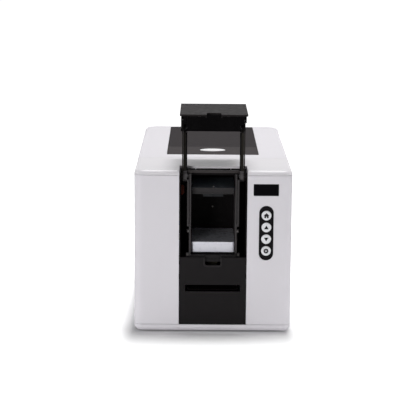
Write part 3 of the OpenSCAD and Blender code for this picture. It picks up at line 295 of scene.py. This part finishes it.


# ---------------------------------------------------------------- plastic in two tones, with light and shade painted into them

REACH = 0.1                     # how far a mask reaches beyond the face that it takes in
COVER_PLATE = 2.0               # thickness of the front cover's plate
BOSS = (17.7, 5.0)              # bosses under the cover: from the middle, and behind its front edge
BOSS_R = 1.8                    # half width of a boss
FRAME_DEPTH = 0.5               # the frame of the thumb notch stands at least this far out
BAR_X = 32                      # half width of the bar over the hopper's mouth
BAR_BACK = FRONT + 30.1         # the bar's back face
BAR_LOW = 199.1                 # the bar's lower edge
WEIGHT_FRONT = FRONT + 20.3     # back of the weight's front bar
WEIGHT_TAB = 172.9              # top of the tab under the weight, which is painted dark as shade
STRIP_TOP = COVER_LOW[Z] + 8.8  # arms and links are painted black above this, as shade under the cover
RIB_X = 34.5                    # the arms' inner ribs, painted black as shade, are nearer to the middle than this
HUB_TOP = 202.3                 # top of the hubs at the arms' lower ends, which are painted pale as a highlight


def painted_two_tone(name, inside, outside, mask, spec, rough=0.52, patch=None):
    """Grained plastic in two tones of one plastic, with light and shade painted into them. The mask gets the
    material and returns 1 for the outside tone.
    A patch is a third tone, as a mask and its colour."""
    m = Mat(name, spec=spec)
    tint = m.mix(mask(m), m.shade(inside, 0.06), m.shade(outside, 0.05))
    if patch:
        patch_mask, patch_rgb = patch
        tint = m.mix(patch_mask(m), tint, srgb(*patch_rgb))
    m.color(tint).rough(rough)
    m.relief(m.noise(0.6, 3.0, 0.6), 0.03, edge=0.5)
    return m


def cover_outside(m):
    """The top of the cover's plate and the back of its leaf. The rest of the cover is painted near-black as
    shade.
    """
    top = m.above(m.axis(Z), COVER_HIGH[Z] - COVER_PLATE + REACH)
    return m.either(top, m.above(m.axis(Y), COVER_HIGH[Y] - 2 * REACH))


def cover_edge_highlight(m):
    """The front edge of the cover and two small bosses under it, painted lighter as a painted highlight."""
    boss_y = COVER_LOW[Y] + BOSS[1]
    boss = m.both(m.between(m.axis(X, True), BOSS[0] - BOSS_R, BOSS[0] + BOSS_R),
                  m.between(m.axis(Y), boss_y - BOSS_R, boss_y + BOSS_R))
    under = m.below(m.axis(Z), COVER_HIGH[Z] - COVER_PLATE - REACH)
    return m.either(m.below(m.axis(Y), COVER_LOW[Y] + 2 * REACH), m.both(boss, under))


# The frame of the thumb notch, which is painted lighter as a painted highlight on its lit ridges.
def notch_frame_highlight(m):
    return m.below(m.axis(Y), FRONT - FRAME_DEPTH)


def mouth_bar(m):
    front = m.both(m.below(m.axis(X, True), BAR_X), m.below(m.axis(Y), BAR_BACK))
    return m.both(front, m.above(m.axis(Z), BAR_LOW))


def weight_bar(m):
    return m.below(m.axis(Y), WEIGHT_FRONT)


def weight_tab_shade(m):
    return m.below(m.axis(Z), WEIGHT_TAB)


def dress_two_tones():
    # The cover's inside is painted near-black as the shade under it, and its front edge and bosses get a
    # painted highlight.
    give(painted_two_tone("cover_plastic", (3, 2, 3), (27, 24, 25), cover_outside, 0.03,
                  patch=(cover_edge_highlight, (33, 30, 31))), "front_cover")
    # The lower panel's own dark tone, with a painted highlight on the notch's frame.
    give(painted_two_tone("strip_plastic", (24, 22, 23), (38, 36, 37), notch_frame_highlight, 0.06, 0.5), "front_lower_panel")
    # Black plastic, painted darker still inside the hopper as the shade there; the bar over the mouth is
    # grey.
    give(painted_two_tone("hopper_plastic", (6, 3, 4), (62, 58, 58), mouth_bar, 0.05), "hopper_housing")
    # The weight's plate is painted pale bluish grey as painted light on it, and its tab dark as painted
    # shade; the front bar has its own grey.
    give(painted_two_tone("weight_plastic", (96, 104, 112), (44, 42, 43), weight_bar, 0.1, 0.45,
                  patch=(weight_tab_shade, (24, 25, 28))), "card_weight")


def arm_plastic():
    """Painted light and shade: black ribs and a black part under the cover as painted shade, a dull
    grey-olive strip in front as a painted lit face, and pale hubs as a painted highlight.
    """
    m = Mat("arm_plastic", spec=0.04)
    # Painted shade on the ribs and above STRIP_TOP, a painted lit face on the strip, a painted highlight on
    # the hubs.
    rib = m.either(m.below(m.axis(X, True), RIB_X), m.above(m.axis(Z), STRIP_TOP))
    bar = m.mix(rib, m.shade((38, 36, 32), 0.08, 5), m.shade((4, 3, 3), 0.05, 6))
    hub = m.below(m.axis(Z), HUB_TOP)
    m.color(m.mix(hub, bar, m.shade((94, 91, 92), 0.05, 6))).rough(0.45)
    m.relief(m.noise(0.5, 3), 0.03, 0.4)
    return m


def link_plastic():
    """As the arms' strip, and painted black as shade where the cover shades it."""
    m = Mat("link_plastic", spec=0.04)
    high = m.above(m.axis(Z), STRIP_TOP)
    m.color(m.mix(high, m.shade((32, 30, 27), 0.06, 5), m.shade((5, 4, 4), 0.05, 6))).rough(0.5)
    m.relief(m.noise(0.5, 3), 0.03)
    return m


# ---------------------------------------------------------------- single pieces

INLAY = (16.9, 10.5)          # half axes of the oval on the release button
SCREEN_MARGIN = (2.5, 1.9)    # between the display's window and its live field, across and up
FILM_X = 29.2                 # half width of the ribbon's roll
CORE_R = 12.3                 # radius of a spool's core
WINDINGS = 1900.0             # layers of film per metre of the roll
MAIN_BOARD = (81.9, 83.7)     # X of the bare main board
FRONT_BOARD = (FRONT + 7.0, FRONT + 9.3)  # Y of the bare front board
TRACKS = 160.0                # scale of the pattern of tracks on a board, per metre
TRACK_WIDTH = 0.03            # share of the pattern


def card_plastic():
    m = Mat("card_plastic", coat=0.2)
    m.color(m.shade((246, 246, 255), 0.01, 12)).rough(0.3)
    m.relief(m.noise(0.6), 0.01, 0.3, 0.1)
    return m


def button_plastic():
    """A dark disc with a white oval inlay."""
    m = Mat("button_plastic", spec=0.08)
    dx = m.math("DIVIDE", m.axis(X), INLAY[0] * MM)
    dy = m.math("DIVIDE", m.offset(Y, middle("cover_release_button", Y)), INLAY[1] * MM)
    oval = m.math("LESS_THAN", m.math("ADD", m.both(dx, dx), m.both(dy, dy)), 1.0)
    m.color(m.mix(oval, m.shade((24, 21, 22), 0.05, 6), m.shade((240, 239, 240), 0.005, 12))).rough(0.35)
    m.relief(m.noise(0.4, 3), 0.01, 0.3, 0.4)
    return m


def display_glass():
    """Black glass over a slightly paler panel."""
    m = Mat("display_glass", spec=0.02)
    low, high = span_of("display_window")
    across, upright = SCREEN_MARGIN
    screen = m.both(m.between(m.axis(X), low[X] + across, high[X] - across),
                    m.between(m.axis(Z), low[Z] + upright, high[Z] - upright))
    m.color(m.mix(screen, srgb(9, 8, 11), srgb(5, 4, 7))).rough(0.12, 0.03)
    m.relief(m.noise(3.0), 0.004, 0.2)
    return m


def wound_ribbon(name, spool):
    """Layers of dark film on a grey core."""
    m = Mat(name, coat=0.3)
    dy = m.offset(Y, middle(spool, Y))
    dz = m.offset(Z, middle(spool, Z))
    r = m.math("SQRT", m.math("ADD", m.both(dy, dy), m.both(dz, dz)))
    layers = m.math("FRACT", m.math("MULTIPLY", r, WINDINGS))
    film = m.both(m.below(m.axis(X, True), FILM_X), m.above(r, CORE_R))
    wound = m.mix(layers, srgb(44, 34, 70), srgb(24, 20, 34))
    m.color(m.mix(film, m.shade((150, 150, 156), 0.04, 8), wound)).rough(0.32)
    m.relief(layers, 0.02, 0.3)
    return m


def ribbon_film():
    m = Mat("ribbon_film", coat=0.6)
    m.color(m.shade((46, 36, 74), 0.1, 10)).rough(0.2)
    m.relief(m.noise(4.0, 3, 0.5, (0.15, 1, 1)), 0.06, 0.3, 0)
    return m


def board(name, across, plate):
    """A circuit board: green solder mask with faint tracks on the plate, dark parts off it.
    The plate lies between two places on the axis across it."""
    m = Mat(name, coat=0.2)
    on_plate = m.between(m.axis(across), *plate)
    mapping = m.add("ShaderNodeMapping")
    m.put(mapping.inputs["Vector"], m.co)
    turn = [0, 0, 0]
    turn[1 - across] = math.pi / 2
    mapping.inputs["Rotation"].default_value = turn
    tracks = m.add("ShaderNodeTexBrick")
    m.put(tracks.inputs["Vector"], mapping.outputs[0])
    tracks.inputs["Scale"].default_value = TRACKS
    tracks.inputs["Mortar Size"].default_value = TRACK_WIDTH
    green = m.mix(tracks.outputs["Fac"], m.shade((22, 88, 46), 0.12, 12), srgb(60, 128, 74))
    m.color(m.mix(on_plate, m.shade((38, 38, 41), 0.06, 4), green)).rough(0.4)
    m.relief(tracks.outputs["Fac"], 0.04, 0.4, 0.2)
    return m


def dress_single_pieces():
    give(arm_plastic(), "cover_arm_left", "cover_arm_right")
    give(link_plastic(), "tilt_link_left", "tilt_link_right")
    give(card_plastic(), "blank_cards")
    give(button_plastic(), "cover_release_button")
    give(display_glass(), "display_window")
    give(wound_ribbon("supply_ribbon", "supply_spool"), "supply_spool")
    give(wound_ribbon("takeup_ribbon", "takeup_spool"), "takeup_spool")
    give(ribbon_film(), "ribbon_film")
    give(board("main_board_mask", X, MAIN_BOARD), "main_board")
    give(board("front_board_mask", Y, FRONT_BOARD), "front_board")


dress_case()
dress_front()
dress_inside()
dress_two_tones()
dress_single_pieces()

# ---------------------------------------------------------------- key symbols

SYMBOL_PROUD = 0.06   # the symbol stands this far out of its key
SYMBOL_DEPTH = 0.25   # thickness of its plate


def ring(r, n=24):
    return [(r * math.cos(2 * math.pi * i / n), r * math.sin(2 * math.pi * i / n)) for i in range(n)]


def gear(r0, r1, teeth):
    """A gear's outline, with the roots of its teeth at r0 and their tips at r1."""
    out = []
    for i in range(teeth):
        for f, r in ((-0.3, r0), (-0.18, r1), (0.18, r1), (0.3, r0)):
            a = 2 * math.pi * (i + f) / teeth
            out.append((r * math.cos(a), r * math.sin(a)))
    return out


# each symbol's outline and its holes, in millimetres from the middle of the key
SYMBOLS = {
    "home": [[(-3.4, 0.2), (0, 3.4), (3.4, 0.2), (2.6, 0.2), (2.6, -3.0), (0.6, -3.0), (0.6, -1.2),
              (-0.6, -1.2), (-0.6, -3.0), (-2.6, -3.0), (-2.6, 0.2)]],
    "up": [[(-2.8, -2.1), (0, 2.6), (2.8, -2.1)]],
    "down": [[(-2.8, 2.1), (0, -2.6), (2.8, 2.1)]],
    "settings": [gear(2.6, 3.4, 8), ring(0.9)],
}


def plate_mesh(name, loops, place):
    """A flat plate in the XZ plane. The first loop is its outline and the others its holes."""
    x0, y0, z0 = place
    flat = [p for loop in loops for p in loop]
    bm = bmesh.new()
    front, back = [[bm.verts.new(((x0 + x) * MM, y * MM, (z0 + z) * MM)) for x, z in flat]
                   for y in (y0, y0 + SYMBOL_DEPTH)]
    for t in tessellate_polygon([[Vector((x, 0, z)) for x, z in loop] for loop in loops]):
        bm.faces.new([front[i] for i in t])
        bm.faces.new([back[i] for i in reversed(t)])
    start = 0
    for loop in loops:
        n = len(loop)
        for k in range(n):
            a, b = start + k, start + (k + 1) % n
            bm.faces.new((front[a], front[b], back[b], back[a]))
        start += n
    bmesh.ops.recalc_face_normals(bm, faces=bm.faces)
    me = bpy.data.meshes.new(name)
    bm.to_mesh(me)
    bm.free()
    return me


def symbol(name, loops, key, body, ink):
    """A symbol on the front of a key, which rides on the key's body."""
    place = (middle(key, X), span_of(key)[0][Y] - SYMBOL_PROUD, middle(key, Z))
    ob = bpy.data.objects.new(name, plate_mesh(name, loops, place))
    scene.collection.objects.link(ob)
    ob.data.materials.append(ink.m)
    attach(ob, body)


symbol_ink = plastic("symbol_ink", (26, 24, 26), 0.5, 0.4, 0.01, 0.04, 0.15, edge=0.1)
for key, loops in SYMBOLS.items():
    symbol(key + "_symbol", loops, "key_" + key, key + "_key", symbol_ink)

# ---------------------------------------------------------------- camera

# solved from the cards, the rails and the edges of the case in the photo, in radians and metres
PITCH, YAW, ROLL = 0.191713, 0.00497970, 0.00795418
CAMERA_PLACE = (-0.01548, -1.81447 + FRONT * MM, 0.51123)
LENS = 129.434    # focal length in millimetres
SENSOR = 36.0     # width of the sensor in millimetres


def photo_camera():
    ahead = Vector((math.sin(YAW) * math.cos(PITCH), math.cos(YAW) * math.cos(PITCH), -math.sin(PITCH)))
    right = Vector((math.cos(YAW), -math.sin(YAW), 0))
    up = right.cross(ahead)
    rolled_right = right * math.cos(ROLL) + up * math.sin(ROLL)
    rolled_up = up * math.cos(ROLL) - right * math.sin(ROLL)
    rows = zip(rolled_right, rolled_up, -ahead, CAMERA_PLACE)
    cam = bpy.data.cameras.new("camera")
    cam.lens, cam.sensor_width, cam.clip_end = LENS, SENSOR, 100.0
    ob = bpy.data.objects.new("camera", cam)
    scene.collection.objects.link(ob)
    ob.matrix_world = Matrix((*rows, (0, 0, 0, 1)))
    return ob


scene.camera = photo_camera()

# ---------------------------------------------------------------- floor, world and lights

FLOOR_SIZE = 40               # half the floor's side
FLOOR_WHITE = (0.94, 0.94, 0.945)  # linear, as WORLD_TINT is
SHADOW_SHIFT = 0.004          # the painted soft shadow of the glow's ramp lies a little to the left
GLOW = (0.01, 0.118)          # the floor's glow grows between these distances from the printer's foot
SIDE_RISE = 3.8               # it grows faster beside the printer than before it
REAR_LEAD = 0.05              # and starts this much sooner at the rear
WORLD_TINT = (0.98, 0.985, 1.0)
WORLD_LIGHT = 0.06            # strength of the world as a light

# name, place, target, size and watts
LIGHTS = [
    ("top_light", (0.1, 0.1, 1.6), (0.05, 0.05, 0.1), (0.75, 0.6), 17.7),
    ("front_light", (-0.9, -2.2, 0.2), (0, 0, 0.12), (0.7, 0.5), 23.8),
    ("right_light", (1.8, -0.35, 0.5), (0, 0, 0.12), (0.7, 0.7), 10.4),
    ("left_light", (-1.9, -0.3, 0.5), (0, 0, 0.12), (0.7, 0.7), 5),
]


def clean_tree(owner):
    owner.use_nodes = True
    owner.node_tree.nodes.clear()
    return Tree(owner.node_tree)


def direct_ray(t):
    """1 for a ray that comes from the camera, off a gloss or through a pane, and 0 for soft light."""
    path = t.add("ShaderNodeLightPath")
    seen = t.math("MAXIMUM", path.outputs["Is Camera Ray"], path.outputs["Is Glossy Ray"])
    return t.math("MAXIMUM", seen, path.outputs["Is Transmission Ray"])


def split_output(t, kind, soft, direct):
    """Joins a shader for soft light and one for direct rays to the tree's output."""
    both = t.add("ShaderNodeMixShader")
    t.put(both.inputs[0], direct_ray(t))
    t.put(both.inputs[1], soft)
    t.put(both.inputs[2], direct)
    t.put(t.add(kind).inputs[0], both.outputs[0])


def floor_glow(t):
    """0 at the printer's foot and 1 away from it, so that the floor turns white but keeps the shadow; the
    ramp also paints a soft shadow around the foot, over the real one.
    """
    low, high = span_of("base_tray")
    foot_x, foot_y = ((high[i] - low[i]) / 2 * MM for i in (X, Y))
    here = t.add("ShaderNodeTexCoord").outputs["Object"]
    centred = t.vector("SUBTRACT", here, (-SHADOW_SHIFT, middle("base_tray", Y) * MM, 0))
    beyond = t.vector("SUBTRACT", t.vector("ABSOLUTE", centred), (foot_x - SHADOW_SHIFT, foot_y, 0))
    outside = t.vector("MAXIMUM", beyond, (0, 0, 0))
    away = t.vector("LENGTH", t.vector("MULTIPLY", outside, (SIDE_RISE, 1, 1)))
    split = t.add("ShaderNodeSeparateXYZ")
    t.put(split.inputs[0], centred)
    lead = t.span(split.outputs[Y], -foot_y, foot_y, 0.0, REAR_LEAD)
    return t.span(t.math("ADD", away, lead), *GLOW)


def paper_floor():
    """A plain pale floor, which glows for direct rays only and lights nothing."""
    s = FLOOR_SIZE
    me = bpy.data.meshes.new("floor")
    me.from_pydata([(-s, -s, 0), (s, -s, 0), (s, s, 0), (-s, s, 0)], [], [(0, 1, 2, 3)])
    ob = bpy.data.objects.new("floor", me)
    scene.collection.objects.link(ob)
    paper = bpy.data.materials.new("floor_paper")
    t = clean_tree(paper)
    matt = t.add("ShaderNodeBsdfDiffuse")
    t.put(matt.inputs["Color"], FLOOR_WHITE)
    glow = t.add("ShaderNodeEmission")
    t.put(glow.inputs["Strength"], floor_glow(t))
    lit = t.add("ShaderNodeAddShader")
    t.put(lit.inputs[0], matt.outputs[0])
    t.put(lit.inputs[1], glow.outputs[0])
    split_output(t, "ShaderNodeOutputMaterial", matt.outputs[0], lit.outputs[0])
    me.materials.append(paper)
    return ob


def background(t, tint, strength):
    n = t.add("ShaderNodeBackground")
    t.put(n.inputs["Color"], tint)
    t.put(n.inputs["Strength"], strength)
    return n.outputs[0]


def studio_world():
    """White to the eye, and a faint light from all sides."""
    world = bpy.data.worlds.new("studio")
    t = clean_tree(world)
    soft = background(t, WORLD_TINT, WORLD_LIGHT)
    split_output(t, "ShaderNodeOutputWorld", soft, background(t, (1, 1, 1), 1.0))
    return world


def softbox(name, place, target, size, watts):
    light = bpy.data.lights.new(name, "AREA")
    light.shape, light.size, light.size_y, light.energy = "RECTANGLE", size[0], size[1], watts
    ob = bpy.data.objects.new(name, light)
    scene.collection.objects.link(ob)
    ob.location = place
    ob.rotation_euler = (Vector(target) - Vector(place)).to_track_quat("-Z", "Y").to_euler()


paper_floor()
scene.world = studio_world()
for light in LIGHTS:
    softbox(*light)

scene.view_settings.view_transform = "Standard"
